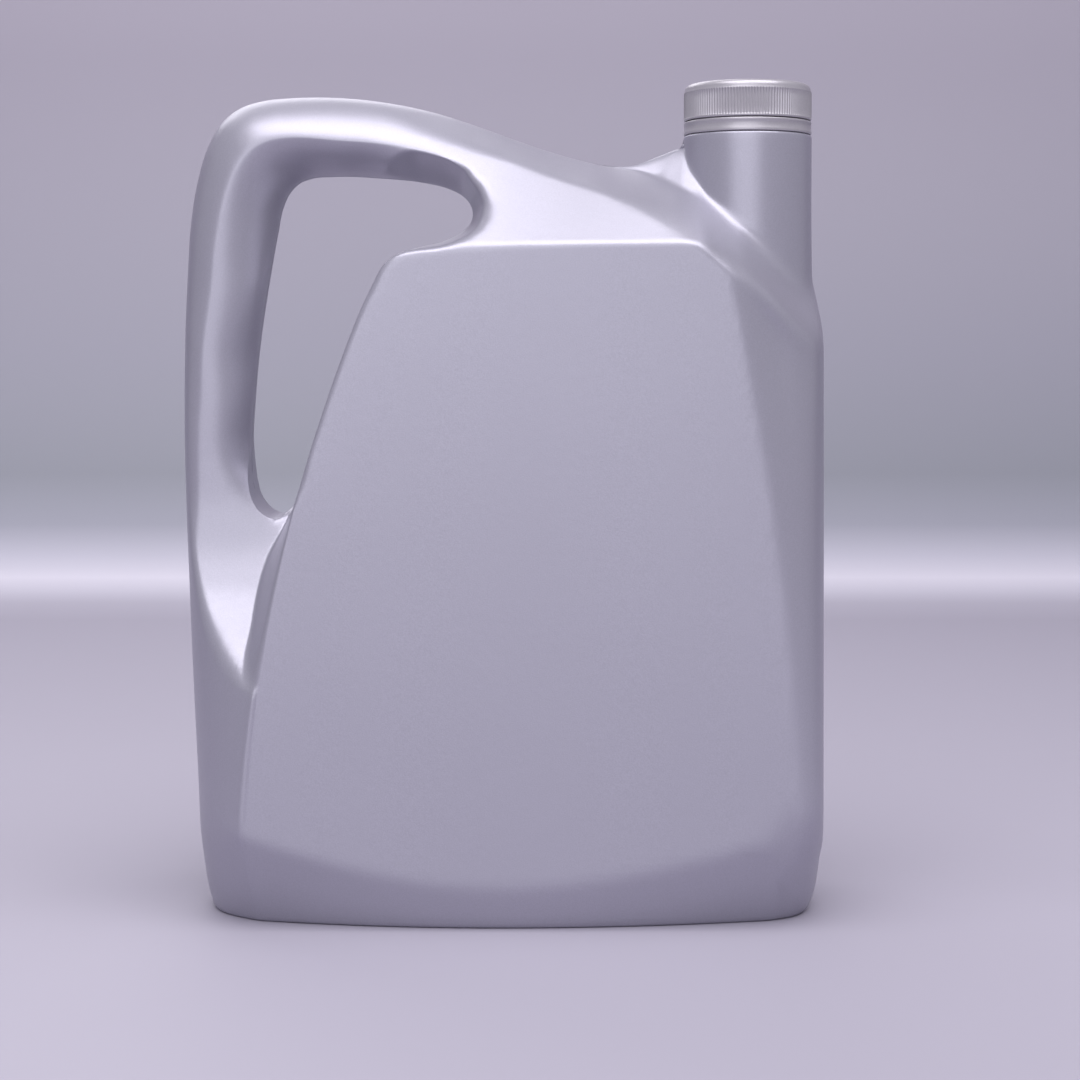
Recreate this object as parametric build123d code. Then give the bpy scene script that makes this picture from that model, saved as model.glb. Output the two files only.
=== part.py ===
from build123d import *

import math
import os

os.makedirs("parts", exist_ok=True)

# A four-litre canister for engine oil, blow-moulded in one piece with its handle, and its screw cap.
# Lengths are in millimetres. Z is up. The front panel faces -Y, the handle is at -X and the neck at +X.
# The origin is on the ground, in the middle of the canister.

# Body. The rim's height and the half width carry the other places with them.
half_width = 112.3
half_depth = 49.0
rim_height = 285.4
panel_crown = 1.2
panel_edge_round = 2.5
wall = 1.2

# Front panel, between a bowed edge at the left and one at the right
panel_foot = 37.0
panel_top = rim_height - 53.9
panel_left_foot = 24.8 - half_width
panel_left_top = 74.8 - half_width
panel_left_bow = 9.2
panel_right_foot = half_width - 10.3
panel_right_top = half_width - 37.8
panel_right_bow = 4.3
panel_corner_drop = 8.0
right_corner_fullness = 0.76

# Foot, where the body tapers down to a smaller base with a hollow in it
foot_height = 40.0
foot_round = 1.2
base_left = half_width - 9.5
base_right = half_width - 4.5
base_half_depth = half_depth - 4.7
base_corner_half_depth = half_depth - 15.4
base_left_corner = half_width - 29.3
base_right_corner = half_width - 21.3
foot_flare = 16.3
foot_side_flare = 6.5
foot_corner_flare = 4.0
base_hollow = 2.5
base_ring_width = 8.0

# Shoulder, a roof that falls from its crest to the front, to the back and to the right
bar_crest = rim_height - 1.1
crest_left_height = bar_crest - 7.8
crest_middle_height = bar_crest - 23.3
crest_neck_height = bar_crest - 27.3
crest_side_height = bar_crest - 80.8
roof_slope_left = 0.38
roof_slope_neck = 0.54
roof_slope_side = 0.76
shelf_slope = 1.0

# Handle, a hollow tube that leaves the body low on the left and comes back over the window
chute_foot = 83.0
chute_middle = 102.0
window_foot = 137.5
window_head = bar_crest - 28.0
window_end = 101.7 - half_width
window_round = 5.0
ledge_drop = 6.5
grip_half_depth = 17.0
grip_ridge_share = 0.36
grip_fullness = 0.76
root_fullness = 0.68
root_crease = 42.0
root_reach = 42.0
root_sink = 1.2
chute_ridge_reach = 12.2
chute_fullness = 0.71
chute_depth_share = 0.7
throat_ridge_reach = 8.0
throat_depth_share = 0.39
column_width = 24.0
column_top_width = 31.0
column_bow = 4.5
column_base_inset = 8.4
column_top_inset = 1.8
turn_rise = 47.0
turn_radius = 37.0
turn_squareness = 0.09
shoulder_root_half_depth = 29.0

# Neck and its finish
neck_radius = 22.5
neck_x = half_width - neck_radius - 3.6
ledge_height = rim_height - 14.5
ledge_round = 1.0
finish_radius = 19.6
bore_radius = 16.6
bead_height = 1.2
bead_projection = 0.9

# Fin between the handle's bar and the neck
fin_start_x = neck_x - 52.2
fin_start_height = bar_crest - 26.3
fin_end_height = bar_crest - 16.8
fin_top_half_width = 4.5
fin_foot_half_width = 15.0
fin_foot_height = bar_crest - 38.3

# Tamper band and cap
cap_radius = 22.4
cap_wall = 1.5
cap_top_thickness = 1.8
band_height = 4.7
band_gap = 0.3
band_lip = 0.7
band_lip_height = 1.6
seat_clearance = 0.1
fit_clearance = 0.3
knurl_depth = 0.45
knurl_pitch = 1.05
knurl_height = 10.0
cap_edge_round = 1.6
liner_thickness = 1.4

# Values that follow from the ones above
body_left = -half_width
body_right = half_width
column_top = bar_crest - turn_rise
panel_corner = panel_top - panel_corner_drop
shoulder_depth = half_depth + 20.0
bar_middle = 0.5 * (body_left + turn_radius + window_end)
grip_foot = window_foot + column_width
reach = 4.0 * half_width


def bowed(height, foot, top, foot_x, top_x, bow):
    """A shallow bow between two points, bulging away from the straight line by bow at its middle."""
    share = (height - foot) / (top - foot)
    return foot_x + (top_x - foot_x) * share + 4.0 * bow * share * (1.0 - share)


def panel_left(height):
    return bowed(height, panel_foot, panel_top, panel_left_foot, panel_left_top, -panel_left_bow)


def panel_right(height):
    return bowed(height, panel_foot, panel_top, panel_right_foot, panel_right_top, panel_right_bow)


def column_outside(height):
    foot_x = body_left + column_base_inset
    top_x = body_left + column_top_inset
    return bowed(height, 0.0, column_top, foot_x, top_x, -column_bow)


def quarter(start, end, fullness, start_direction, end_direction):
    """A rounded corner from start to end, through a point whose place is set by its fullness."""
    across = Vector(*start_direction)
    whole = end - start
    along = across * whole.dot(across)
    middle = start + along * fullness + (whole - along) * (1.0 - fullness)
    return Spline(start, middle, end, tangents=[start_direction, end_direction])


def mirrored_face(front_edges):
    """A face bounded by front edges, given from left to right, and their mirror images at the back."""
    back_edges = [edge.mirror(Plane.XZ) for edge in front_edges]
    return make_face(Wire(list(front_edges) + back_edges).edges())


def tank_section(height, left, inset):
    """Plan of the tank: straight left wall, crowned panel and one large rounded corner at the right."""
    depth = half_depth - inset
    corner = max(panel_edge_round - inset, 0.4)
    left_x = left + inset
    right_x = panel_right(height) - 0.5 * inset
    side_x = body_right - inset
    turn = corner * (1.0 - math.sqrt(0.5))
    left_wall = Line((left_x, 0, height), (left_x, corner - depth, height))
    left_corner = ThreePointArc(
        (left_x, corner - depth, height),
        (left_x + turn, turn - depth, height),
        (left_x + corner, -depth, height),
    )
    panel = ThreePointArc(
        (left_x + corner, -depth, height),
        (0.5 * (left_x + right_x), -depth - panel_crown, height),
        (right_x, -depth, height),
    )
    side = Vector(side_x, 0, height)
    right_edge = Vector(right_x, -depth, height)
    right_corner = quarter(side, right_edge, right_corner_fullness, (0, -1, 0), (-1, 0.15, 0))
    return mirrored_face([left_wall, left_corner, panel, right_corner])


def tank_left(height):
    """The tank's left wall follows the panel's edge, and leans right above it to make room for the window."""
    if height <= panel_corner:
        return panel_left(height)
    lean = (window_end - 2.0 - panel_left(panel_corner)) / (window_head - panel_corner)
    return panel_left(panel_corner) + lean * (height - panel_corner)


def tank_form(inset):
    """The tank with its panel, cut under the roof, along the shelves and along the window."""
    shares = (0.0, 0.3, 0.6, 0.85, 1.0)
    heights = [inset] + [panel_foot + share * (panel_corner - panel_foot) for share in shares]
    sections = [tank_section(height, tank_left(height), inset) for height in heights]
    upper_heights = [panel_corner, window_head, bar_crest + 12.0]
    upper_sections = [tank_section(height, tank_left(height), inset) for height in upper_heights]
    tank = loft(sections) + loft(upper_sections, ruled=True)
    tank = tank & roof_form(inset)
    tank = tank - shelf_cut(inset)
    return tank - window_form(inset)


def roof_profile(y, inset):
    """Front view of everything under the roof, at one depth."""
    drop = abs(y)
    ends = [
        (window_end - 5.0, crest_left_height, roof_slope_left),
        (fin_start_x - 4.0, crest_middle_height, roof_slope_left),
        (neck_x - 0.85 * neck_radius, crest_neck_height, roof_slope_neck),
        (neck_x + 0.3 * neck_radius, 0.3 * crest_side_height + 0.7 * crest_neck_height, roof_slope_side),
        (body_right, crest_side_height, roof_slope_side),
    ]
    points = [Vector(x, y, height - 1.15 * inset - slope * drop) for x, height, slope in ends]
    crest = Spline(*points)
    right_top = Vector(body_right + 10.0, y, points[-1].Z - 20.0)
    left_foot = Vector(body_left, y, -10.0)
    left_top = Vector(body_left, y, points[0].Z)
    right_foot = Vector(right_top.X, y, -10.0)
    sides = Polyline(points[-1], right_top, right_foot, left_foot, left_top, points[0])
    return make_face([crest] + sides.edges())


def roof_form(inset):
    """Everything under the roof, which is ruled from its crest down to the front and to the back."""
    front = loft([roof_profile(-shoulder_depth, inset), roof_profile(0.0, inset)], ruled=True)
    back = loft([roof_profile(0.0, inset), roof_profile(shoulder_depth, inset)], ruled=True)
    return front + back


def shelf_cut(inset):
    """Two long wedges that take the front and back corners off above the panel."""
    run = half_depth + panel_crown + 5.0
    foot_y = inset - half_depth
    lift = 0.42 * inset
    profile = Polyline(
        (0, foot_y + run, panel_top - lift + shelf_slope * run),
        (0, foot_y - 10.0, panel_top - lift - shelf_slope * 10.0),
        (0, foot_y - 10.0, panel_top + 2.0 * run),
        (0, foot_y + run, panel_top + 2.0 * run),
        close=True,
    )
    wedge = extrude(make_face(profile), amount=half_width, dir=(1, 0, 0), both=True)
    below = Pos(0, 0, panel_top - lift - 25.0) * Box(reach, reach, 50.0)
    wedge = wedge - below
    return wedge + mirror(wedge, Plane.XZ)


def window_form(inset):
    """The window's rounded right end and the ledge under it, which trim the tank's upper left corner."""
    corner_x = panel_left(panel_corner)
    far_x = corner_x - 30.0
    end = window_end + inset
    outline = FilletPolyline(
        (far_x, 0, panel_top - 50.0 - inset),
        (corner_x - 1.5 + 0.6 * inset, 0, panel_corner - window_round - inset),
        (corner_x + 4.5 + 0.4 * inset, 0, panel_top - ledge_drop - inset),
        (end - panel_corner_drop, 0, panel_top + 1.5 - inset),
        (end, 0, panel_top + 7.0 - inset),
        (end - 1.0, 0, window_head - 1.0 + inset),
        (far_x, 0, bar_crest + 20.0),
        radius=window_round,
        close=True,
    )
    return extrude(make_face(outline), amount=reach, dir=(0, 1, 0), both=True)


def ring_section(outer, inner, ridge_share, depth, fullness, crease):
    """A section of the handle: a nose outside, a ridge in front, a nose inside, and the same at the back."""
    inward = (inner - outer).normalized()
    length = (inner - outer).length
    front = Vector(0, -1, 0)
    ridge = outer + inward * (ridge_share * length) + front * depth
    turn = math.radians(crease)
    arrive = inward * math.cos(turn) + front * math.sin(turn)
    leave = inward * math.cos(turn) - front * math.sin(turn)
    outside = quarter(outer, ridge, fullness, tuple(front), tuple(arrive))
    inside = quarter(inner, ridge, fullness, tuple(front), tuple(leave * -1.0))
    return mirrored_face([outside, inside])


def level_section(height, inner_x, ridge_x, depth, fullness, crease, inset):
    outer_x = column_outside(height) + inset
    inner_x = inner_x - inset
    share = (ridge_x - outer_x) / (inner_x - outer_x)
    outer = Vector(outer_x, 0, height)
    inner = Vector(inner_x, 0, height)
    return ring_section(outer, inner, share, depth - inset, fullness, crease)


def low_section(height, inset):
    """Below the chute the section's ridge runs just inside the panel's left edge."""
    ridge_x = panel_left(height) + root_sink + 0.4 * inset
    depth = half_depth - root_sink
    return level_section(height, ridge_x + root_reach, ridge_x, depth, root_fullness, root_crease, inset)


def grip_section(outer, inner, depth, inset):
    inward = (inner - outer).normalized()
    return ring_section(
        outer + inward * inset, inner - inward * inset, grip_ridge_share, depth - inset, grip_fullness, 0.0
    )


def column_section(height, width, inset):
    outer = Vector(column_outside(height), 0, height)
    return grip_section(outer, outer + Vector(width, 0, 0), grip_half_depth, inset)


def turn_section(angle, inset):
    """A section in the handle's upper corner, at an angle from the column's top to the bar's start."""
    turn_x = column_outside(column_top) + turn_radius
    share = angle / 90.0
    outward = Vector(-math.cos(math.radians(angle)), 0, math.sin(math.radians(angle)))
    squareness = 1.0 + turn_squareness * math.sin(math.radians(2.0 * angle))
    rise = bar_crest - column_top
    outer_x = turn_x + outward.X * turn_radius * squareness
    outer = Vector(outer_x, 0, column_top + outward.Z * rise * squareness)
    inner_radius = turn_radius - column_top_width
    inner_rise = window_head - column_top
    inner = Vector(turn_x + outward.X * inner_radius + 6.0 * share, 0, column_top + outward.Z * inner_rise)
    return grip_section(outer, inner, grip_half_depth, inset)


def low_sections(inset):
    """From the ground to the foot of the chute, where the handle's root is a plain corner of the body."""
    low_middle = 0.5 * (panel_foot + chute_foot)
    heights = [inset, panel_foot, low_middle, chute_foot]
    return [low_section(height, inset) for height in heights]


def chute_sections(inset):
    """Over the chute the ridge draws back from the panel's edge, until the window parts the two."""
    chute_ridge = column_outside(chute_middle) + chute_ridge_reach
    throat_ridge = column_outside(window_foot) + throat_ridge_reach
    upper = 0.5 * (chute_middle + window_foot)
    upper_ridge = 0.5 * (chute_ridge + throat_ridge) - 1.0
    throat_x = panel_left(window_foot) - 3.0
    chute_depth = chute_depth_share * half_depth
    throat_depth = throat_depth_share * half_depth
    upper_depth = 0.5 * (chute_depth + throat_depth) - 1.5
    return [
        low_section(chute_foot, inset),
        level_section(chute_middle, throat_x + 26.0, chute_ridge, chute_depth, chute_fullness, 24.0, inset),
        level_section(upper, throat_x + 12.0, upper_ridge, upper_depth, chute_fullness, 12.0, inset),
        level_section(window_foot, throat_x, throat_ridge, throat_depth, chute_fullness, 3.0, inset),
        column_section(grip_foot, column_width, inset),
    ]


def column_sections(inset):
    column_middle = 0.5 * (grip_foot + column_top)
    middle_width = 0.5 * (column_width + column_top_width) - 2.0
    return [
        column_section(grip_foot, column_width, inset),
        column_section(column_middle, middle_width, inset),
        column_section(column_top, column_top_width, inset),
    ]


def turn_sections(inset):
    corner = [turn_section(angle, inset) for angle in (30.0, 60.0, 90.0)]
    return [column_section(column_top, column_top_width, inset)] + corner


def bar_section(x, crest, underside, inset):
    return grip_section(Vector(x, 0, crest), Vector(x, 0, underside), grip_half_depth, inset)


def bar_sections(inset):
    """The bar over the window widens into the shoulder at the window's end and sinks into the roof."""
    root = ring_section(
        Vector(window_end, 0, crest_left_height - 1.6 - inset),
        Vector(window_end, 0, window_head - 8.0 + inset),
        0.84, shoulder_root_half_depth - inset, 0.66, 0.0,
    )
    end_x = window_end + 22.0
    return [
        turn_section(90.0, inset),
        bar_section(bar_middle, bar_crest - 1.3, window_head - 0.3, inset),
        root,
        bar_section(end_x, crest_middle_height + 2.5, window_head - 12.0, inset),
    ]


def handle_form(inset):
    low = loft(low_sections(inset), ruled=True)
    chute = loft(chute_sections(inset))
    column = loft(column_sections(inset))
    turn = loft(turn_sections(inset))
    sections = bar_sections(inset)
    bar = loft(sections[:-1])
    root = loft(sections[-2:], ruled=True)
    return low + chute + column + turn + bar + root


def footprint(height, left, right, left_corner, right_corner, depth):
    """Plan of the foot: a blunt nose at each end and a bowed front between two corners."""
    left_nose = quarter(Vector(-left, 0, height), left_corner, 0.68, (0, -1, 0), (1, -0.9, 0))
    bow = ThreePointArc(left_corner, Vector(0, -depth, height), right_corner)
    right_nose = quarter(Vector(right, 0, height), right_corner, 0.74, (0, -1, 0), (-1, -0.45, 0))
    return mirrored_face([left_nose, bow, right_nose])


def base_face(height, inset):
    left_corner = Vector(0.8 * inset - base_left_corner, inset - base_corner_half_depth, height)
    right_corner = Vector(base_right_corner - 0.8 * inset, inset - base_corner_half_depth, height)
    return footprint(
        height, base_left - inset, base_right - inset, left_corner, right_corner, base_half_depth - inset
    )


def foot_top_face(inset):
    """The taper's upper end, which stands clear of the body all round, also at the panel's lower corners."""
    height = foot_height
    corner_depth = inset - half_depth - foot_corner_flare
    left_corner = Vector(panel_left(height) - 1.0 + 0.5 * inset, corner_depth, height)
    right_corner = Vector(panel_right(height) + 1.0 - 0.5 * inset, corner_depth, height)
    left = base_left + foot_side_flare - inset
    right = base_right + foot_side_flare - inset
    return footprint(height, left, right, left_corner, right_corner, base_half_depth + foot_flare - inset)


def foot_trim(inset):
    """What lies outside the tapered foot, from the ground to the foot's height."""
    rounding_face = base_face(inset, inset + foot_round)
    base = base_face(inset + foot_round, inset)
    taper = loft([rounding_face, base], ruled=True) + loft([base, foot_top_face(inset)], ruled=True)
    block_height = foot_height - inset
    block = Pos(0, 0, inset + 0.5 * block_height) * Box(reach, reach, block_height)
    return block - taper


def base_plug(inset):
    """The hollow under the base. With an inset it is the floor that the hollow leaves inside the body."""
    return extrude(base_face(0.0, base_ring_width - inset), amount=base_hollow + inset)


def edge_arc(radius, height, size):
    """The rounded outer edge of a turned shape, from its side up to its top."""
    turn = size * (1.0 - math.sqrt(0.5))
    return ThreePointArc(
        (radius, 0, height - size), (radius - turn, 0, height - turn), (radius - size, 0, height)
    )


def neck_form(inset):
    """The wide neck under the ledge and the narrow finish above it, turned about the neck's axis."""
    foot = crest_side_height - 45.0
    wide = neck_radius - inset
    narrow = finish_radius if inset == 0.0 else bore_radius
    ledge = ledge_height - inset
    top = rim_height + (0.0 if inset == 0.0 else 5.0)
    outline = Polyline((0, 0, foot), (wide, 0, foot), (wide, 0, ledge - ledge_round))
    rounding = edge_arc(wide, ledge, ledge_round)
    rest = Polyline(
        (wide - ledge_round, 0, ledge), (narrow, 0, ledge), (narrow, 0, top), (0, 0, top), (0, 0, foot)
    )
    profile = make_face(outline.edges() + [rounding] + rest.edges())
    return Pos(neck_x, 0, 0) * revolve(profile, Axis.Z)


def neck_bead():
    """The ring on the finish that holds the tamper band down."""
    low = ledge_height + band_lip_height + 2.0 * fit_clearance
    outside = finish_radius + bead_projection
    profile = Polyline(
        (finish_radius - 1.0, 0, low),
        (outside, 0, low),
        (outside, 0, low + 0.4 * bead_height),
        (finish_radius - 1.0, 0, low + bead_height),
        close=True,
    )
    return Pos(neck_x, 0, 0) * revolve(make_face(profile), Axis.Z)


def fin_section(x, top, top_half_width, foot, foot_half_width):
    crown = Vector(x, 0, top)
    left = Vector(x, -top_half_width, top - 0.6 * top_half_width)
    right = Vector(x, top_half_width, top - 0.6 * top_half_width)
    arc = ThreePointArc(left, crown, right)
    skirt = Polyline(right, Vector(x, foot_half_width, foot), Vector(x, -foot_half_width, foot), left)
    return make_face([arc] + skirt.edges())


def fin_form():
    low_foot = fin_foot_height - 4.0
    start = fin_section(
        fin_start_x, fin_start_height, 0.6 * fin_top_half_width, low_foot, 0.6 * fin_foot_half_width
    )
    end = fin_section(
        neck_x - 0.7 * neck_radius, fin_end_height, fin_top_half_width, fin_foot_height, fin_foot_half_width
    )
    return loft([start, end], ruled=True)


def bottle_body():
    outside = tank_form(0.0) + handle_form(0.0)
    outside = outside - foot_trim(0.0)
    outside = outside + neck_form(0.0) + fin_form()
    inside = tank_form(wall) + handle_form(wall)
    inside = inside - foot_trim(wall)
    inside = inside - base_plug(wall)
    inside = inside + neck_form(wall)
    return outside - base_plug(0.0) - inside + neck_bead()


def tamper_band():
    """The smooth ring that stays on the neck, with a lip inside that sits under the neck's bead."""
    low = ledge_height + seat_clearance
    high = ledge_height + band_height
    lip_top = low + band_lip_height
    inside = finish_radius + bead_projection + fit_clearance
    profile = Polyline(
        (inside - band_lip, 0, low),
        (cap_radius, 0, low),
        (cap_radius, 0, high),
        (inside, 0, high),
        (inside, 0, lip_top),
        (inside - band_lip, 0, lip_top),
        close=True,
    )
    return Pos(neck_x, 0, 0) * revolve(make_face(profile), Axis.Z)


def cap_top():
    return rim_height + seat_clearance + liner_thickness + cap_top_thickness


def knurled_ring(low):
    """A ring of triangular ribs around the cap, cut as one star-shaped outline."""
    count = round(2.0 * math.pi * cap_radius / knurl_pitch)
    points = []
    for rib in range(count):
        crest_angle = 2.0 * math.pi * rib / count
        root_angle = crest_angle + math.pi / count
        root_radius = cap_radius - knurl_depth
        points.append((cap_radius * math.cos(crest_angle), cap_radius * math.sin(crest_angle)))
        points.append((root_radius * math.cos(root_angle), root_radius * math.sin(root_angle)))
    star = make_face(Polyline(*points, close=True))
    return Pos(neck_x, 0, low) * extrude(star, amount=knurl_height)


def cap():
    low = ledge_height + band_height + band_gap
    high = cap_top()
    inside = cap_radius - cap_wall
    plain_radius = cap_radius - knurl_depth
    outline = Polyline((0, 0, low), (plain_radius, 0, low), (plain_radius, 0, high - cap_edge_round))
    edge = edge_arc(plain_radius, high, cap_edge_round)
    rest = Polyline((plain_radius - cap_edge_round, 0, high), (0, 0, high), (0, 0, low))
    shell = Pos(neck_x, 0, 0) * revolve(make_face(outline.edges() + [edge] + rest.edges()), Axis.Z)
    hollow_height = high - cap_top_thickness - low
    hollow = Pos(neck_x, 0, low + 0.5 * hollow_height) * Cylinder(inside, hollow_height)
    return shell + knurled_ring(low) - hollow


def cap_liner():
    """The disc that seals on the rim, loose inside the cap."""
    radius = cap_radius - cap_wall - fit_clearance
    low = rim_height + seat_clearance
    thickness = liner_thickness - seat_clearance
    return Pos(neck_x, 0, low + 0.5 * thickness) * Cylinder(radius, thickness)


export_step(bottle_body(), "parts/bottle_body.step")
export_step(tamper_band(), "parts/tamper_band.step")
export_step(cap(), "parts/cap.step")
export_step(cap_liner(), "parts/cap_liner.step")
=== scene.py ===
import math

import bpy
import numpy as np
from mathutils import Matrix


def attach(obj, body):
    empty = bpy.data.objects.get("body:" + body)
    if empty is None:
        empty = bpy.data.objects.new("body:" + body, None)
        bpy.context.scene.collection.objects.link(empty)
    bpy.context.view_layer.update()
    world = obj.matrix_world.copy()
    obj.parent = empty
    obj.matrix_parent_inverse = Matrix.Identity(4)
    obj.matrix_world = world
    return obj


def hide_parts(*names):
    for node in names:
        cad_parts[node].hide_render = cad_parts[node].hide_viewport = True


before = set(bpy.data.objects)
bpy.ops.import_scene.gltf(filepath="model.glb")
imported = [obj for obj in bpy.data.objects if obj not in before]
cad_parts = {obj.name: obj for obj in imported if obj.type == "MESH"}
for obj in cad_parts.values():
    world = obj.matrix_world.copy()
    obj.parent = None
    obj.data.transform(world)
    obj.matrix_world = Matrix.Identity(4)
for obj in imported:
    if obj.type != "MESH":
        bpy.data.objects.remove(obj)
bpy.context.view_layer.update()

bl_info = {
    "name": "Oil canister",
    "version": (1, 0, 0),
    "blender": (4, 5, 0),
    "location": "3D View > Sidebar > Canister",
    "description": "Builds a blow-moulded four-litre canister with its handle, neck and screw cap",
    "category": "Add Mesh",
}

# The shapes are worked out in millimetres, and this turns finished points into metres.
MILLIMETRE = 0.001

# Heights of the panel's lower end and of its rise from there, and the height that the foot tapers over.
PANEL_FOOT = 37.0
PANEL_RISE = 194.5
FOOT_HEIGHT = 40.0

# Places of the base's two ends, left and right of the middle.
BASE_LEFT = -101.6
BASE_RIGHT = 106.6

# The thread: the neck's radius at its root, the cap's radius inside, and the heights that the ridge spans.
THREAD_ROOT = 19.6
CAP_BORE = 20.9
THREAD_LOW = 277.6
THREAD_HIGH = 283.6


def hermite(share, first, leaving, last, arriving):
    """A cubic Hermite curve between two values. Both slopes are given times the width of the piece."""
    cube = share**3
    square = share**2
    start = (2.0 * cube - 3.0 * square + 1.0) * first + (cube - 2.0 * square + share) * leaving
    return start + (3.0 * square - 2.0 * cube) * last + (cube - square) * arriving


def monotone(knots, values, at):
    """A smooth curve through knots that never overshoots: cubic Hermite pieces with harmonic-mean slopes."""
    knots = np.asarray(knots, float)
    values = np.asarray(values, float)
    step = np.diff(knots)
    secant = np.diff(values) / step
    product = secant[:-1] * secant[1:]
    total = secant[:-1] + secant[1:]
    inner = np.where(product > 0.0, 2.0 * product / np.where(total == 0.0, 1.0, total), 0.0)
    slope = np.concatenate([secant[:1], inner, secant[-1:]])
    at = np.clip(at, knots[0], knots[-1])
    piece = np.clip(np.searchsorted(knots, at, side="right") - 1, 0, len(step) - 1)
    width = step[piece]
    share = (at - knots[piece]) / width
    return hermite(share, values[piece], width * slope[piece], values[piece + 1], width * slope[piece + 1])


def curve_through(points, corners, samples=40):
    """A dense closed curve through points in the x-z plane, and its length at each of them.

    Each piece is a cubic Hermite curve. Its end slopes are the chord-weighted means of the two neighbouring
    chords, and at a corner each side keeps its own chord.
    """
    points = np.asarray(points, float)
    following = np.roll(points, -1, axis=0)
    chord = following - points
    size = np.linalg.norm(chord, axis=1)[:, None]
    unit = chord / size
    before_unit = np.roll(unit, 1, axis=0)
    before_size = np.roll(size, 1, axis=0)
    mean = (unit * before_size + before_unit * size) / (size + before_size)
    is_corner = np.zeros(len(points), bool)
    is_corner[list(corners)] = True
    leaving = np.where(is_corner[:, None], unit, mean)
    arriving = np.roll(np.where(is_corner[:, None], before_unit, mean), -1, axis=0)
    share = np.linspace(0.0, 1.0, samples, endpoint=False)[None, :, None]
    ends = [values[:, None] for values in (points, leaving * size, following, arriving * size)]
    dense = hermite(share, *ends).reshape(-1, 2)
    closed = np.vstack([dense, dense[:1]])
    length = np.concatenate([[0.0], np.cumsum(np.linalg.norm(np.diff(closed, axis=0), axis=1))])
    return closed, length, length[::samples]


def joined(*values):
    """Numbers or grids of them, spread to one form and joined as the columns of points."""
    return np.stack(np.broadcast_arrays(*values), axis=-1)


def positive(value):
    """The value where it is above 0, and 0 elsewhere."""
    return np.clip(value, 0.0, None)


def at_length(curve, length, where):
    """Points of a dense curve at given lengths along it."""
    return joined(np.interp(where, length, curve[:, 0]), np.interp(where, length, curve[:, 1]))


def lower(first, second, reach):
    """The smaller of two depths, rounded over where they differ by less than reach.

    What comes off is a quarter of reach, times the square of how near the two are.
    """
    near = np.clip(1.0 - np.abs(first - second) / reach, 0.0, 1.0)
    return np.minimum(first, second) - 0.25 * reach * near**2


def higher(first, second, reach):
    """The larger of two depths, filled in where they differ by less than reach."""
    return -lower(-first, -second, reach)


def eased(value):
    """A smooth step: three squares less two cubes of the value, held between 0 and 1."""
    value = np.clip(value, 0.0, 1.0)
    return value * value * (3.0 - 2.0 * value)


def length_property(name, description, default):
    """A length in millimetres."""
    return bpy.props.FloatProperty(name=name, description=description + ", in mm", default=default)


def colour_property(name, description, default):
    """A colour as linear values."""
    return bpy.props.FloatVectorProperty(
        name=name, description=description, subtype="COLOR", size=3, default=default
    )


class CanisterSizes(bpy.types.PropertyGroup):
    """Sizes of the canister in millimetres, as its solid has them."""

    half_width: length_property("Half width", "Half the canister's width", 112.25)
    half_depth: length_property("Half depth", "Depth of the panel's edge in front of the middle", 48.9)
    panel_crown: length_property("Panel crown", "How far the panel bulges at its middle", 1.1)
    panel_top: length_property("Panel top", "Height of the panel's top edge", 231.2)
    grip_half_depth: length_property("Grip half depth", "Half the depth of the handle's upright", 17.0)
    neck_x: length_property("Neck place", "Place of the neck to the right of the middle", 86.2)
    neck_radius: length_property("Neck radius", "Radius of the wide neck under the cap", 22.5)
    ledge_height: length_property("Ledge height", "Height of the ledge under the tamper band", 270.9)
    rim_height: length_property("Rim height", "Height of the pouring rim", 285.4)
    wall: length_property("Wall", "Thickness of the wall", 1.2)


class ClosureSizes(bpy.types.PropertyGroup):
    """Sizes of the screw cap and its band in millimetres."""

    cap_radius: length_property("Radius", "Outside of the ribs", 22.4)
    rib_count: bpy.props.IntProperty(name="Ribs", description="Number of ribs round the cap", default=134)
    rib_depth: length_property("Rib depth", "Depth of a rib", 0.42)
    thread_pitch: length_property("Thread pitch", "Rise of the thread in one turn", 4.2)


class FinishColours(bpy.types.PropertyGroup):
    """Colours of the plastics, as linear values."""

    silver: colour_property("Silver", "Body plastic", (0.395, 0.383, 0.455))
    cap_silver: colour_property("Cap silver", "Cap plastic", (0.43, 0.41, 0.45))
    wad: colour_property("Wad", "Disc inside the cap", (0.75, 0.74, 0.70))
    floor: colour_property("Floor", "Pale floor", (0.42, 0.395, 0.475))


def left_side(height):
    """The canister's left outline: a shallow bow, drawn in towards the foot."""
    return monotone(
        [0, 1.5, 5, 10.7, 23.8, 46.8, 71.6, 101.8, 141.5, 163.3, 184, 207.7, 223.5, 239.3],
        [-102.4, -102.9, -103.9, -105, -106.3, -107.4, -108.7, -110.1, -111.5, -112, -112.15, -111.8,
         -111.1, -110],
        height,
    )


def right_side(height):
    """The canister's right outline below the shoulder: upright, drawn in towards the foot."""
    return monotone(
        [0, 1.5, 3.6, 9, 17.8, 28, 42, 200],
        [107.4, 108.2, 109.2, 110.5, 111.4, 111.9, 112.05, 112.05],
        height,
    )


def panel_left(height):
    """The panel's left edge: a straight lean, bowed out to the left by a parabola."""
    share = (height - PANEL_FOOT) / PANEL_RISE
    return -87.5 + 50.0 * share - 36.8 * share * (1.0 - share)


def panel_right(height):
    """The panel's right edge: a straight lean, bowed out to the right by a parabola."""
    share = (height - PANEL_FOOT) / PANEL_RISE
    return 102.0 - 27.5 * share + 17.2 * share * (1.0 - share)


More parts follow.
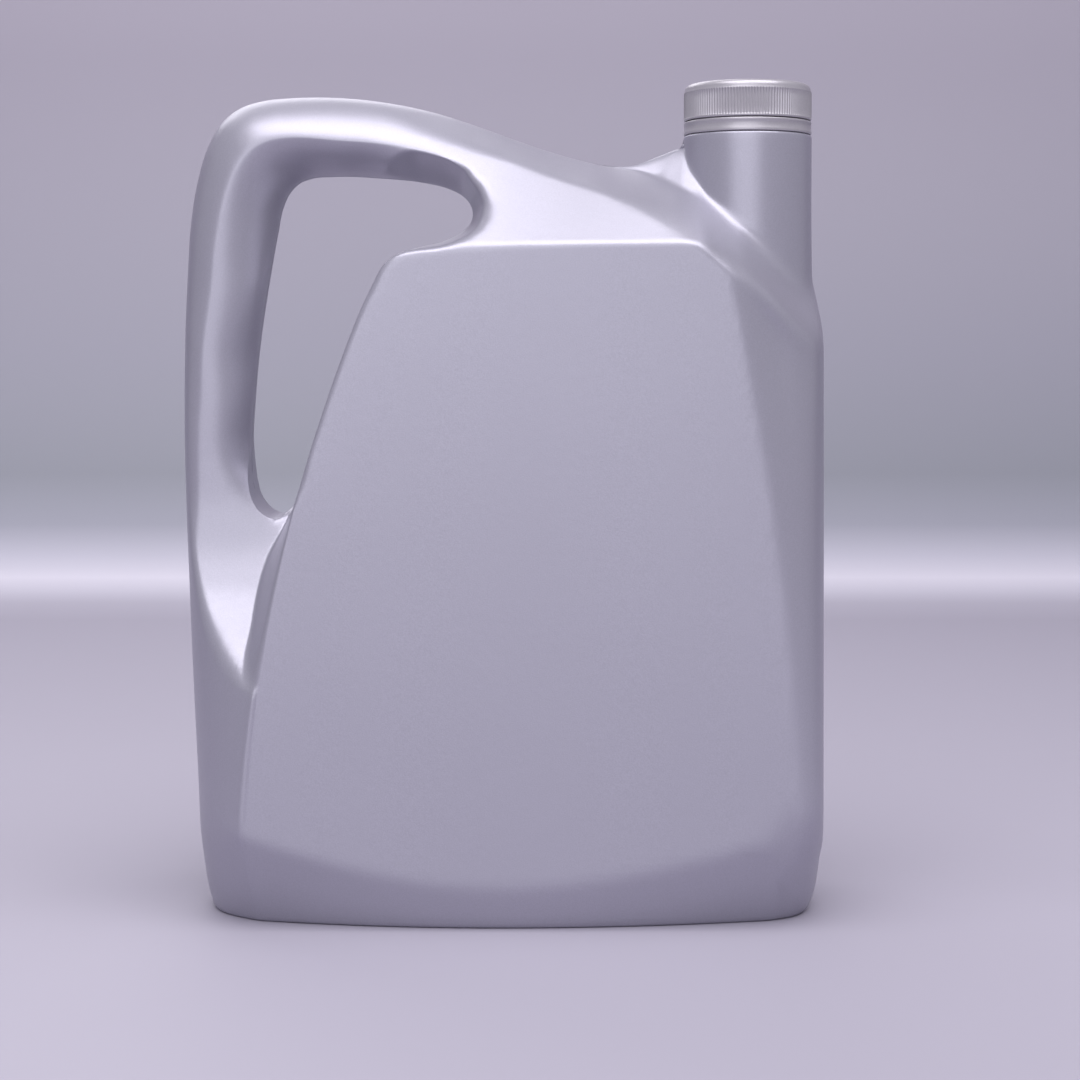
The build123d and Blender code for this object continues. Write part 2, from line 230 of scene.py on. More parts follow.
def loop_points():
    """Both outlines as point lists, and the pairs of places that the grid's lines run between.

    Each pair holds a place in the window's list, one in the canister's list, and how many of the grid's
    lines follow before the next pair.
    """
    neck_left = 63.7
    neck_right = 108.7
    neck_top = 269.9
    left = [(float(left_side(z)), z) for z in (6, 14, 22, 32, 50, 80, 110, 135)]
    grip = [(float(left_side(z)), z) for z in (157, 180, 203)]
    right = [(float(right_side(z)), z) for z in (172, 120, 70, 44, 34, 27, 20, 11, 4)]
    outer = [(BASE_LEFT, 0), (-102.45, 0.35), (-102.8, 1.2)] + left + grip
    outer += [(-111, 224), (-110, 239.3), (-107.6, 254.5), (-103.6, 267.5), (-98.6, 275.9)]
    outer += [(-92.4, 280.6), (-84.5, 283.1), (-73.6, 284.2), (-62, 284.4), (-50, 283.7), (-37, 281.9)]
    outer += [(-23.1, 278.8), (-7.3, 273.7), (6, 268.9), (18, 264.9), (29, 261.9), (37.5, 260.3)]
    outer += [(45.6, 260.4), (53.7, 263.2), (60, 265.7), (neck_left, 266.9)]
    outer += [(neck_left, neck_top), (neck_right, neck_top), (neck_right, 250), (108.75, 236)]
    outer += [(108.95, 226), (109.5, 218)]
    outer += [(110.5, 212), (111.45, 206), (112.05, 197)] + right
    outer += [(107.8, 1.2), (107.45, 0.35), (BASE_RIGHT, 0)]
    wall_heights = (205, 190, 175, 161, 149)
    wall = [(float(panel_left(z)) - 2, z) for z in wall_heights]
    window = [(-79.5, 137.2), (-83.4, 138.9), (-86.6, 142.9), (-88.3, 149), (-88.8, 157), (-88.6, 166)]
    window += [(-87.8, 177), (-86.3, 193), (-84.3, 208.5), (-81.7, 224), (-79.2, 237), (-77.2, 246)]
    window += [(-74.9, 250.8), (-71.5, 254.2), (-67, 255.9), (-59.4, 256.5), (-42, 256), (-27, 254.3)]
    window += [(-19, 252.3), (-14.4, 250), (-11.7, 247.2), (-10.6, 243.8), (-11.3, 240.6), (-13.6, 237.8)]
    window += [(-17.5, 235.5), (-22, 233.6), (-28, 232.2), (-35, 230), (-40.2, 226), (-44.6, 218)]
    window += wall + [(-75.2, 139.4)]
    neck_corners = [(neck_left, 266.9), (neck_left, neck_top), (neck_right, neck_top)]
    corners = [outer.index(place) for place in [(BASE_LEFT, 0), *neck_corners, (BASE_RIGHT, 0)]]
    pairs = [
        (0, 0, 52),
        (4, outer.index(grip[0]), 28),
        (9, outer.index((-111, 224)), 26),
        (12, outer.index((-103.6, 267.5)), 26),
        (15, outer.index((-62, 284.4)), 22),
        (17, outer.index((-23.1, 278.8)), 18),
        (20, outer.index((6, 268.9)), 18),
        (21, outer.index((37.5, 260.3)), 22),
        (22, outer.index((neck_left, neck_top)), 36),
        (23, outer.index((neck_right, neck_top)), 34),
        (25, outer.index((112.05, 197)), 26),
        (29, outer.index(right[1]), 44),
        (32, outer.index((BASE_RIGHT, 0)), 110),
    ]
    return outer, corners, window, pairs


def loop_rays():
    """Start and end of every grid line, its place in the loop, and how far along the window it starts.

    Place 3.0 is pair 3, and between two pairs both ends move along their outlines by a smooth curve. Along
    the base and the neck's top the outer end is spaced as the cosine, so round ends are cut finely.
    """
    neck_pair, base_pair = 8, 12
    outer, corners, window, pairs = loop_points()
    outer_curve, outer_length, outer_marks = curve_through(outer, corners)
    window_curve, window_length, window_marks = curve_through(window, [])
    counts = np.array([row[2] for row in pairs])
    starts = np.concatenate([[0], np.cumsum(counts)])
    window_knots = np.append(window_marks[[row[0] for row in pairs]], window_length[-1])
    outer_knots = np.append(outer_marks[[row[1] for row in pairs]], outer_length[-1])
    line = np.arange(starts[-1])
    place = np.interp(line, starts, np.arange(len(starts)))
    along_window = monotone(starts, window_knots, line)
    along_outer = monotone(starts, outer_knots, line)
    for row in (neck_pair, base_pair):
        here = (line >= starts[row]) & (line <= starts[row + 1])
        share = 0.5 - 0.5 * np.cos(math.pi * (line[here] - starts[row]) / counts[row])
        along_outer[here] = outer_knots[row] + share * (outer_knots[row + 1] - outer_knots[row])
    from_window = at_length(window_curve, window_length, along_window)
    to_outer = at_length(outer_curve, outer_length, along_outer)
    neck_from, neck_to = starts[neck_pair], starts[neck_pair + 1]
    is_open = ((line >= neck_from) & (line <= neck_to)) | (line >= starts[base_pair]) | (line == 0)
    marks = {"neck": (neck_from, neck_to), "base": (starts[base_pair], starts[base_pair + 1])}
    return from_window, to_outer, place, along_window, window_marks, is_open, marks


def nose(share, start_slope, power, root):
    """Depth share of a rounded end, 1 at its start and 0 at its end.

    It is a root of one less two terms: the share times the start slope, and a power of the share.
    """
    share = np.clip(share, 0.0, 1.0)
    return np.clip(1.0 - start_slope * share - (1.0 - start_slope) * share**power, 0.0, 1.0) ** (1.0 / root)


def foot_depth(x, z):
    """Depth of the tapered foot: a bowed front between two creased corners, and a blunt nose at each end.

    The front is a parabola between the corners. All of it grows evenly with height and is rounded under a
    small radius at the ground.
    """
    share = z / FOOT_HEIGHT
    lip = 1.2
    rounding = lip - np.sqrt(lip**2 - np.clip(lip - z, 0.0, lip) ** 2)
    middle = 44.3 + 16.3 * share - rounding
    corner = 33.6 + 19.4 * share - rounding
    left_corner = 83.0 + 5.6 * share
    right_corner = 91.0 + 11.8 * share
    flare = positive(z - 20.0) * 0.12
    left_end = flare - left_side(z) - rounding
    right_end = flare + right_side(z) - rounding
    width = np.where(x < 0.0, left_corner, right_corner)
    bow = middle - (middle - corner) * (x / width) ** 2
    left_nose = corner * nose((-x - left_corner) / (left_end - left_corner), 0.75, 5.0, 2.0)
    right_nose = corner * nose((x - right_corner) / (right_end - right_corner), 0.52, 4.0, 2.3)
    return np.where(x < -left_corner, left_nose, np.where(x > right_corner, right_nose, bow))


def roof_depth(x, z):
    """Depth of the roof at a height: the drop from its crest over its slope, rounded at the crest."""
    crest_round = 2.4
    crest = monotone(
        [-62, -50, -37, -23.1, -7.3, 6, 18, 29, 40,
         52, 67, 80.4, 88, 93, 100, 105, 109, 112.5],
        [284.4, 283.7, 281.9, 278.8, 273.7, 268.9, 264.9, 261.9, 259.6,
         258.4, 257, 251.3, 245.6, 240.5, 231.5, 225, 219.5, 207.5],
        x,
    )
    slope = monotone(
        [-30, -10, 6, 20, 33, 53, 66, 74, 83, 95, 112],
        [0.62, 0.53, 0.45, 0.41, 0.39, 0.46, 0.54, 0.62, 0.67, 0.74, 0.78],
        x,
    )
    drop = crest - z
    rounded = np.sqrt(positive(drop) * positive(drop + crest_round))
    return np.where(drop > 0.0, rounded, drop) / slope


def tank_depth(x, z):
    """Depth of the tank: the least of its crowned panel, its corners, its left flank, its shelf and its roof.

    The panel's crown is a parabola across. The right corner is a blunt nose with a hollow under the shoulder
    band, the flank a steep fall left of the panel's edge, and the shelf a slope back from the panel's top.
    """
    sizes = bpy.context.scene.canister
    depth = sizes.half_depth
    left = panel_left(z)
    right = panel_right(z)
    across = (2.0 * x - left - right) / (right - left)
    crowned = depth + sizes.panel_crown * (1.0 - across**2)
    corner_width = sizes.half_width - right
    start_slope = 0.019 * corner_width
    power = 2.55 + 3.8 * start_slope
    corner = depth * nose((x - right) / corner_width, start_slope, power, 2.5)
    band_line = monotone([70, 84, 95, 112.5], [226, 217.5, 209, 203.5], x)
    hollow_reach = 15.0
    hollow_depth = 2.6
    below = positive(band_line - z) / hollow_reach
    sideways = eased((x - right) / 12.0) * eased((112.3 - x) / 10.0)
    corner = corner - hollow_depth * below * np.exp(1.0 - below) * sideways
    front = np.where(x > right, corner, crowned)
    steep = monotone(
        [60, 82, 90, 102, 116, 125, 137, 150], [1.8, 1.3, 1.6, 2.7, 3.4, 4.4, 9.5, 24], z
    )
    flank = front + steep * (x - left) - 0.06 * positive(left - 6.0 - x) ** 2
    # The flank ends where the bar begins, or it would cut a notch into the bar's root.
    flank_end = 241.0
    flank = flank + 400.0 * positive(z - flank_end)
    front = lower(front, flank, 1.0 + 0.5 * steep)
    above_top = monotone([-45, -32, -18, 11, 36, 60], [-4.7, -2.8, -1.4, 0, 0.3, 0.1], x)
    shelf_slope = monotone([-30, -12, 5, 25], [0.78, 0.84, 0.94, 1], x)
    shelf = depth + 0.4 + shelf_slope * (above_top + sizes.panel_top - z)
    front = lower(front, shelf, 1.3)
    # Behind the bar the tank is no deeper than the bar itself. From its end this limit rises to the right.
    bar_depth = 18.6
    bar_end = -22.0
    rise = 0.8 * (x - bar_end + np.sqrt((x - bar_end) ** 2 + 100.0))
    ahead_of_bar = bar_depth + rise + 3.0 * positive(250.0 - z)
    front = lower(front, ahead_of_bar, 6.0)
    return lower(front, roof_depth(x, z), 3.0 + 3.0 * eased((x - 35.0) / 30.0))


def grip_depth_level(x, z):
    """Depth of the handle where it stands upright, from level sections.

    At the foot it is a creased nose from the panel's edge to the outside. Over the chute a floor that draws
    back with height cuts into that nose, and the two turn into the grip's rounded section, which has a nose
    on each side of its ridge. Above the upright it falls away, because the bar is shaped along its path.
    """
    outside = left_side(z)
    edge = panel_left(z)
    floor = monotone(
        [0, 74, 84, 90, 102, 116, 131, 145, 158],
        [70, 62, 46, 41.2, 33.4, 25.4, 19.6, 17.4, 17],
        z,
    )
    root = 49.3 * nose((edge - x) / (edge - outside), 0.7, 5.0, 1.9)
    scooped = lower(root, floor, 4.0) - 3.0 * positive(x - edge)
    inside = monotone(
        [110, 120, 130, 137.5, 148, 158, 166, 180, 193, 208.5, 224],
        [-45, -53, -60, -67.5, -80, -87, -88.4, -87.6, -86.3, -84.3, -81.7],
        z,
    )
    ridge = monotone([116, 137, 158, 190, 224], [-102.5, -103.7, -103.7, -103, -100.4], z)
    outer_flank = nose((ridge - x) / (ridge - outside), 0.0, 2.5, 2.5)
    inner_flank = nose((x - ridge) / (inside - ridge), 0.0, 2.4, 2.2)
    grip = floor * np.where(x < ridge, outer_flank, inner_flank)
    chute_foot, chute_rise, upright_end = 116.0, 34.0, 215.0
    upright = scooped + (grip - scooped) * eased((z - chute_foot) / chute_rise)
    return upright - 2.0 * positive(z - upright_end)


def grip_depth_along(from_outside, place):
    """Depth of the handle along its own path, from the share of the way across it.

    A nose falls to each side of the ridge. The upright's ridge is near its outside, with a broad front.
    Towards the bar it moves inwards and grows sharper, so the bar has a sloping top and a plain underside.
    """
    half_depth = bpy.context.scene.canister.grip_half_depth
    depth = half_depth + monotone([2, 3.5, 5], [0, 0.6, 1.6], place)
    ridge = monotone([1, 2, 3, 4, 5, 7], [0.34, 0.38, 0.45, 0.58, 0.61, 0.62], place)
    outer_power = monotone([1, 2, 3, 4, 5], [2.2, 1.75, 1.6, 1.45, 1.42], place)
    inner_power = monotone([1, 2, 3, 4, 5], [2.3, 1.9, 1.55, 1.45, 1.45], place)
    is_outer = from_outside < ridge
    flank = np.where(is_outer, (ridge - from_outside) / ridge, (from_outside - ridge) / (1.0 - ridge))
    power = np.where(is_outer, outer_power, inner_power)
    return depth * nose(flank, 0.0, power, power)


def neck_depth(x, z):
    """Depth of the neck, a cylinder that widens a little at its foot, and a fall beside it."""
    sizes = bpy.context.scene.canister
    radius = sizes.neck_radius + 0.9 * np.clip((250.0 - z) / 45.0, 0.0, 1.0) ** 2
    off = np.abs(x - sizes.neck_x)
    return np.where(off < radius, np.sqrt(positive(radius**2 - off**2)), 3.0 * (radius - off))


def fin_depth(x, z):
    """Depth of the fin between the roof and the neck: the drop from its crest times its spread, rounded."""
    crest_round = 7.0
    crest = monotone(
        [20, 30, 37.5, 45.6, 53.7, 60, 63.7, 80],
        [249, 256, 259.6, 260.6, 263.3, 265.8, 267, 270],
        x,
    )
    spread = monotone([30, 45, 63], [0.35, 0.55, 0.78], x)
    drop = crest - z - 3.0 * positive(32.0 - x) - 0.12 * positive(x - 66.0) ** 2
    rounded = np.sqrt(positive(drop) * positive(drop + crest_round))
    return np.where(drop > 0.0, rounded, drop) * spread - 3.0 * positive(244.0 - z)


def window_edge(depth, distance, window_place, marks):
    """The depth near the window, where the wall runs back from the outline under a rounded edge.

    The wall's depth is the root of two terms: the squared product of slope and distance, and twice the bend
    times distance. Where it is steep, a quarter circle of the given radius joins it to the front. The rows
    are places in the window's list of points, and one more knot closes the loop.
    """
    rows = [0, 3, 5, 15, 17, 19, 20, 21, 22, 23, 25, 29, 34, 35]
    knots = np.append(marks[rows], marks[-1] + (marks[1] - marks[0]))
    steeps = [2, 1, 0, 0, 1.9, 3.5, 6, 8, 9, 9, 11, 24, 26, 10, 2]
    bends = [500, 500, 90, 60, 8, 8, 8, 8, 8, 6, 5, 4, 4, 300, 500]
    radii = [1, 1, 1, 2, 3, 4.5, 5.5, 6, 5.5, 4, 2.6, 2.2, 2, 1.5, 1]
    steep = monotone(knots, steeps, window_place)
    bend = monotone(knots, bends, window_place)
    radius = monotone(knots, radii, window_place)
    straight = np.sqrt((steep * distance) ** 2 + 2.0 * bend * distance)
    plain = lower(depth, straight, 1.0)
    below = positive(depth - radius)
    slope = np.clip(steep, 1.0, None)
    past = distance - (np.sqrt(bend**2 + (slope * below) ** 2) - bend) / slope**2
    arc = depth - radius + np.sqrt(radius**2 - (radius - np.clip(past, 0.0, radius)) ** 2)
    moulded = lower(straight, arc, 1.5)
    weight = eased((steep - 1.5) / 2.0)
    return plain + (moulded - plain) * weight


def distance_to_window(x, z):
    """Distance to the window's outline: the least distance to any of the short straight pieces along it."""
    window = curve_through(loop_points()[2], [], 8)[0]
    least = np.full(x.shape, np.inf)
    for (start_x, start_z), (end_x, end_z) in zip(window[:-1], window[1:]):
        run_x, run_z = end_x - start_x, end_z - start_z
        off_x, off_z = x - start_x, z - start_z
        share = np.clip((off_x * run_x + off_z * run_z) / (run_x**2 + run_z**2), 0.0, 1.0)
        least = np.minimum(least, (off_x - share * run_x) ** 2 + (off_z - share * run_z) ** 2)
    return np.sqrt(least)


def front_view_lines():
    """The grid's lines in the front view, as x and z at even steps, with what loop_rays gives.

    Each starts as a bulged line between its two ends. Averaging with the neighbours then spreads them evenly,
    and those that end near the base's left corner are drawn onto the panel's left edge and the foot's crease.
    """
    start, end, place, window_place, window_marks, is_open, marks = loop_rays()
    share = np.linspace(0.0, 1.0, 61)[None, :]
    knots = [0, 6, 7, 8, 9, 9.6, 10.5, 13]
    bend_x = monotone(knots, [0, 0, 8, 46, 54, 38, 0, 0], place[:, None])
    bend_z = monotone(knots, [0, 0, -7, -19, -33, -13, 0, 0], place[:, None])
    bulge = 2.0 * share * (1.0 - share)
    x = start[:, :1] + (end - start)[:, :1] * share + bend_x * bulge
    z = start[:, 1:] + (end - start)[:, 1:] * share + bend_z * bulge
    rounds_of_averaging = 240
    for _ in range(rounds_of_averaging):
        for values in (x, z):
            around = np.roll(values, 1, axis=0) + np.roll(values, -1, axis=0)
            along = values[:, :-2] + values[:, 2:]
            values[:, 1:-1] = 0.25 * (around[:, 1:-1] + along)
    foot_corner, crease_lean = -83.0, 5.1
    corner = int(np.argmin(np.abs(end[:, 0] - foot_corner) + 100.0 * (end[:, 1] > 0.5)))
    edge_z = z[corner]
    crease_x = foot_corner - crease_lean * edge_z / FOOT_HEIGHT
    edge_x = np.where(edge_z > PANEL_FOOT, panel_left(edge_z), crease_x)
    shift = (edge_x - x[corner]) * eased(20.0 * (1.0 - share[0])) * eased(12.0 * share[0])
    lines_off = np.arange(len(x)) - corner
    lines_off = np.where(lines_off < -len(x) // 2, lines_off + len(x), lines_off)
    near = eased(1.0 - np.abs(lines_off) / np.where(lines_off < 0, 45.0, 30.0))
    x = x + shift[None, :] * near[:, None]
    return x, z, place, window_place, window_marks, is_open, marks


def front_depth(x, z, place, window_place, window_marks, is_open):
    """Depth of the body's front at every point of the front view's lines.

    The tank, neck, fin and upright take the largest of their depths, the handle's bar is blended in along its
    path, and the foot and the window's edge cut them back. Along a closed outline the depth is held between
    two rounded limits, so the two halves meet in a round edge.
    """
    run, rise = (np.diff(values, axis=1, prepend=values[:, :1]) for values in (x, z))
    travelled = np.hypot(run, rise).cumsum(axis=1)
    span = travelled[:, -1:]
    share = travelled / span
    tank = higher(tank_depth(x, z), neck_depth(x, z), 6.0)
    tank = higher(tank, fin_depth(x, z), 1.6)
    solid = higher(tank, grip_depth_level(x, z), 2.5)
    bar = grip_depth_along(1.0 - share, place)
    weight = eased(np.interp(place, [0, 1, 1.6, 6.5, 7.5, 13], [0, 0, 1, 1, 0, 0]))
    weight = weight * eased((-14.0 - x) / 38.0)
    depth = solid + (bar - solid) * weight
    depth = lower(depth, foot_depth(x, z), 1.0 + 6.0 * eased((np.abs(x) - 88.0) / 12.0))
    edge_reach = 45.0
    distance = travelled.copy()
    is_near = travelled < edge_reach
    distance[is_near] = distance_to_window(x[is_near], z[is_near])
    depth = window_edge(depth, distance, window_place, window_marks)
    from_outline = (1.0 - share) * span
    most = np.sqrt((2.0 * from_outline) ** 2 + 400.0 * from_outline)
    least = np.where(place < 5.0, np.sqrt(4.0 * np.clip(from_outline, 0.0, 1.0)), 0.0)
    depth = np.where(is_open, depth, np.clip(depth, least, most))
    return positive(depth)


def spread_evenly(x, y, z, count):
    """Points along every line at even shares of its length plus its turning, smoothed along and across."""
    lines = len(x)
    run, back, rise = np.diff(x, axis=1), np.diff(y, axis=1), np.diff(z, axis=1)
    step = np.sqrt(run**2 + back**2 + rise**2) + 1e-9
    heading = np.unwrap(np.arctan2(-back, np.hypot(run, rise)), axis=1)
    turning = np.abs(np.diff(heading, axis=1, prepend=heading[:, :1]))
    turning_weight = 9.0
    density = step + turning_weight * turning
    kernel = np.hanning(23)
    kernel /= kernel.sum()
    density = np.apply_along_axis(np.convolve, 1, density, kernel, mode="same") + 0.02 * step
    travel = np.concatenate([np.zeros((lines, 1)), np.cumsum(density, axis=1)], axis=1)
    travel /= travel[:, -1:]
    for _ in range(6):
        travel = 0.25 * np.roll(travel, 1, axis=0) + 0.5 * travel + 0.25 * np.roll(travel, -1, axis=0)
    line_start = 2.0 * np.arange(lines)[:, None]
    wanted = np.linspace(0.0, 1.0, count)[None, :] + line_start
    known = travel + line_start
    number = np.arange(known.size)
    at = np.interp(wanted.ravel(), known.ravel(), number)
    grid = [np.interp(at, number, values.ravel()).reshape(lines, count) for values in (x, y, z)]
    return np.stack(grid, axis=-1)


def body_front():
    """The front half of the body as a grid of points, and the lines that end open at the neck and the base.

    The grid's lines run from the window's outline to the canister's. Each is cut finely, given its depth, and
    then cut again into points that are spread by length and turning.
    """
    line_x, line_z, place, window_place, window_marks, is_open, marks = front_view_lines()
    fine, count = 720, 75
    stations = line_x.shape[1]
    at = (stations - 1) * eased(np.linspace(0.0, 1.0, fine))
    from_station = np.minimum(at.astype(int), stations - 2)
    rest = at - from_station
    x = line_x[:, from_station] * (1.0 - rest) + line_x[:, from_station + 1] * rest
    z = line_z[:, from_station] * (1.0 - rest) + line_z[:, from_station + 1] * rest
    depth = front_depth(x, z, place[:, None], window_place[:, None], window_marks, is_open[:, None])
    points = spread_evenly(x, -depth, z, count)
    points[:, 0, 1] = 0.0
    points[~is_open, -1, 1] = 0.0
    points[[0, marks["base"][0]], -1, 1] = 0.0
    return points, is_open, marks


def quads(rows, columns, wrap=False):
    """Quads of a grid of rows by columns, and a last column back to the first where it wraps."""
    across = columns if wrap else columns - 1
    row = np.arange(rows - 1)[:, None]
    column = np.arange(across)[None, :]
    after = (column + 1) % columns
    first = row * columns + column
    second = row * columns + after
    return joined(first, second, second + columns, first + columns).reshape(-1, 4)


class Shell:
    """Points and quads that are gathered part by part, with corners shared where parts meet."""

    def __init__(self):
        self.points = []
        self.faces = []
        self.count = 0

    def add(self, grid):
        """Take in a grid of points, and give back their numbers in the grid's form."""
        start = self.count
        self.points.append(grid.reshape(-1, 3))
        self.count += len(self.points[-1])
        return np.arange(start, self.count).reshape(grid.shape[:-1])

    def weave(self, corners, flip, wrap=False):
        """Take in the quads between numbered corners, turned over where flip is true."""
        faces = corners.ravel()[quads(*corners.shape, wrap)]
        self.faces.append(faces[:, ::-1] if flip else faces)


def add_mesh(name, shell, material, body, slot, *nodes):
    """Make an object of a shell in millimetres.

    A quad with one repeated corner gives a triangle, and one with two gives nothing.
    """
    points = np.vstack(shell.points) * MILLIMETRE
    faces = np.vstack(shell.faces)
    lost = (faces == np.roll(faces, -1, axis=1)).sum(axis=1)
    whole = faces[lost == 0]
    thin = faces[lost == 1]
    triangles = thin[thin != np.roll(thin, -1, axis=1)].reshape(-1, 3)
    used, renumbered = np.unique(np.concatenate([whole.ravel(), triangles.ravel()]), return_inverse=True)
    mesh = bpy.data.meshes.new(name)
    mesh.vertices.add(len(used))
    mesh.vertices.foreach_set("co", points[used].astype(np.float32).ravel())
    mesh.loops.add(len(renumbered))
    mesh.loops.foreach_set("vertex_index", renumbered.astype(np.int32))
    sizes = np.concatenate([np.full(len(whole), 4), np.full(len(triangles), 3)])
    mesh.polygons.add(len(sizes))
    mesh.polygons.foreach_set("loop_start", np.concatenate([[0], np.cumsum(sizes)[:-1]]).astype(np.int32))
    mesh.polygons.foreach_set("use_smooth", np.ones(len(sizes), bool))
    mesh.update(calc_edges=True)
    mesh.validate()
    mesh.materials.append(material)
    piece = bpy.data.objects.new(name, mesh)
    bpy.context.collection.objects.link(piece)
    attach(piece, body)
    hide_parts(*nodes)


def base_hollow(x, y, depth):
    """Height of the underside: flat on a ring along its edge, and pushed up inside it."""
    ring_width, hollow_height = 8.0, 2.5
    from_side = (1.0 - np.abs(y) / np.maximum(depth, 1e-6)) * depth
    from_end = np.minimum(x - BASE_LEFT, BASE_RIGHT - x) * 0.9
    return hollow_height * eased((np.minimum(from_side, from_end) - ring_width) / 4.0)


def side_shell(shell, front, is_open, marks, inside):
    """Both sides and the base of the shell. Back from here come the corners of its open neck.

    The back is the front mirrored. The base runs across from one to the other in even steps.
    """
    front_ids = shell.add(front)
    back_ids = shell.add(front * np.array([1.0, -1.0, 1.0]))
    back_ids[:, 0] = front_ids[:, 0]
    base_from = marks["base"][0]
    neck_from, neck_to = marks["neck"]
    closed = ~is_open
    closed[[0, base_from, neck_from, neck_to]] = True
    back_ids[closed, -1] = front_ids[closed, -1]
    lines = len(front)
    around = np.append(np.arange(lines), 0)
    shell.weave(front_ids[around], not inside)
    shell.weave(back_ids[around], inside)
    edge = np.append(np.arange(base_from, lines), 0)
    near = front_ids[edge, -1]
    far = back_ids[edge, -1]
    rim = front[edge, -1]
    depth = -rim[:, 1]
    y = np.linspace(-1.0, 1.0, 45)[1:-1, None] * depth
    x = np.broadcast_to(rim[:, 0], y.shape)
    z = base_hollow(x, y, depth)
    if inside:
        z = z + rim[:, 2]
    middle = shell.add(joined(x, y, z))
    middle[:, 0] = near[0]
    middle[:, -1] = near[-1]
    shell.weave(np.vstack([near, middle, far]), inside)
    top = np.arange(neck_from, neck_to + 1)
    return np.concatenate([front_ids[top, -1], back_ids[top[-2:0:-1], -1]])


def normals_of(grid):
    """Unit normals of a grid that closes along its lines, from the cross product of its two directions."""
    along = np.roll(grid, -1, axis=0) - np.roll(grid, 1, axis=0)
    across = np.gradient(grid, axis=1)
    normal = np.cross(along, across)
    size = np.linalg.norm(normal, axis=-1, keepdims=True)
    return normal / np.maximum(size, 1e-12)


def inner_front(front, is_open, marks):
    """The wall's inner side: every second point of the outside, moved in by the wall along its normal.

    Its end at the base is raised by the wall, and its end at the neck is set on a ring under the ledge.
    """
    sizes = bpy.context.scene.canister
    coarse = front[::2, ::2]
    normal = normals_of(coarse)
    normal[:, 0, 1] = 0.0
    normal[~is_open[::2], -1, 1] = 0.0
    normal /= np.maximum(np.linalg.norm(normal, axis=-1, keepdims=True), 1e-9)
    outward = -np.sign(normal[:, 20, 1]).mean()
    inner = coarse - sizes.wall * normal * np.sign(outward)
    inner[..., 1] = np.minimum(inner[..., 1], 0.0)
    base = np.append(np.arange(marks["base"][0], len(inner)), 0)
    inner[base, -1, 2] = sizes.wall
    neck = np.arange(marks["neck"][0], marks["neck"][1] + 1)
    angle = np.arctan2(coarse[neck, -1, 1], coarse[neck, -1, 0] - sizes.neck_x)
    bore = sizes.neck_radius - sizes.wall
    inner[neck, -1, 0] = sizes.neck_x + bore * np.cos(angle)
    inner[neck, -1, 1] = -np.abs(bore * np.sin(angle))
    inner[neck, -1, 2] = sizes.ledge_height - 3.0
    inner[neck[[0, -1]], -1, 1] = 0.0
    return inner


def turned(radius, height, angle):
    """Points round the neck's axis: x is the axis plus radius times cosine, and y is radius times sine."""
    axis = bpy.context.scene.canister.neck_x
    return joined(axis + radius * np.cos(angle), radius * np.sin(angle), height)


def turned_shell(radius, height, angle):
    """A profile turned once about the neck's axis, as a shell. A point on the axis is one corner.

    A profile that starts away from the axis ends where it starts.
    """
    shell = Shell()
    corners = shell.add(turned(radius, height, angle))
    is_pole = radius[:, 0] == 0.0
    corners[is_pole] = corners[is_pole, :1]
    if not is_pole[0]:
        corners[-1] = corners[0]
    shell.weave(corners, False, wrap=True)
    return shell


def finish_profile(wall):
    """The neck's profile from under the ledge, over the rim and down the bore, as radius and height."""
    sizes = bpy.context.scene.canister
    wide = sizes.neck_radius
    ledge = sizes.ledge_height
    rim = sizes.rim_height
    bore_radius = 16.6
    turn = np.linspace(0.0, 0.5 * math.pi, 6)[1:]
    ledge_edge = joined(wide - 1.0 + np.cos(turn), ledge - 1.0 + np.sin(turn))
    fillet = joined(THREAD_ROOT + 0.6 - 0.6 * np.sin(turn), ledge + 0.6 - 0.6 * np.cos(turn))
    bead_heights = np.array([272.6, 273.1, 273.2, 273.4, 273.7, 274.1, 274.5, 275])
    bead = 0.9 * np.interp(bead_heights, [273.1, 273.2, 273.7, 274.5, 275], [0, 0.8, 1, 0.4, 0])
    beaded = joined(THREAD_ROOT + bead, bead_heights)
    threaded = joined(THREAD_ROOT, np.linspace(275.4, 284.2, 34))
    rim_edge = joined(THREAD_ROOT - 0.8 + 0.8 * np.cos(turn), rim - 0.8 + 0.8 * np.sin(turn))
    inner_edge = joined(bore_radius + 0.8 - 0.8 * np.sin(turn), rim - 0.8 + 0.8 * np.cos(turn))
    bore = np.array([[bore_radius, height] for height in (282.0, 278.0, 274.0, ledge - wall)])
    flare = np.array([[17.6, ledge - wall - 0.4], [wide - wall - 0.8, ledge - wall - 0.4]])
    return np.vstack([ledge_edge, fillet, beaded, threaded, rim_edge, inner_edge, bore, flare])


def thread_height(angle, height, low, high, pitch, rise):
    """Height of a single-start screw thread over its root: a rounded ridge that fades out at both ends.

    The ridge follows a height that grows by the pitch in each turn. Across, it is a power of one less the
    squared distance from its middle.
    """
    turn = (height - low) / pitch - angle / (2.0 * math.pi)
    phase = turn - np.round(turn)
    ridge = np.clip(1.0 - (np.abs(phase) / 0.27) ** 2, 0.0, 1.0) ** 0.7
    centre = height - phase * pitch
    fade = eased((centre - low + 0.5 * pitch) / (0.25 * pitch)) * eased((high - centre) / (0.25 * pitch))
    return rise * ridge * fade


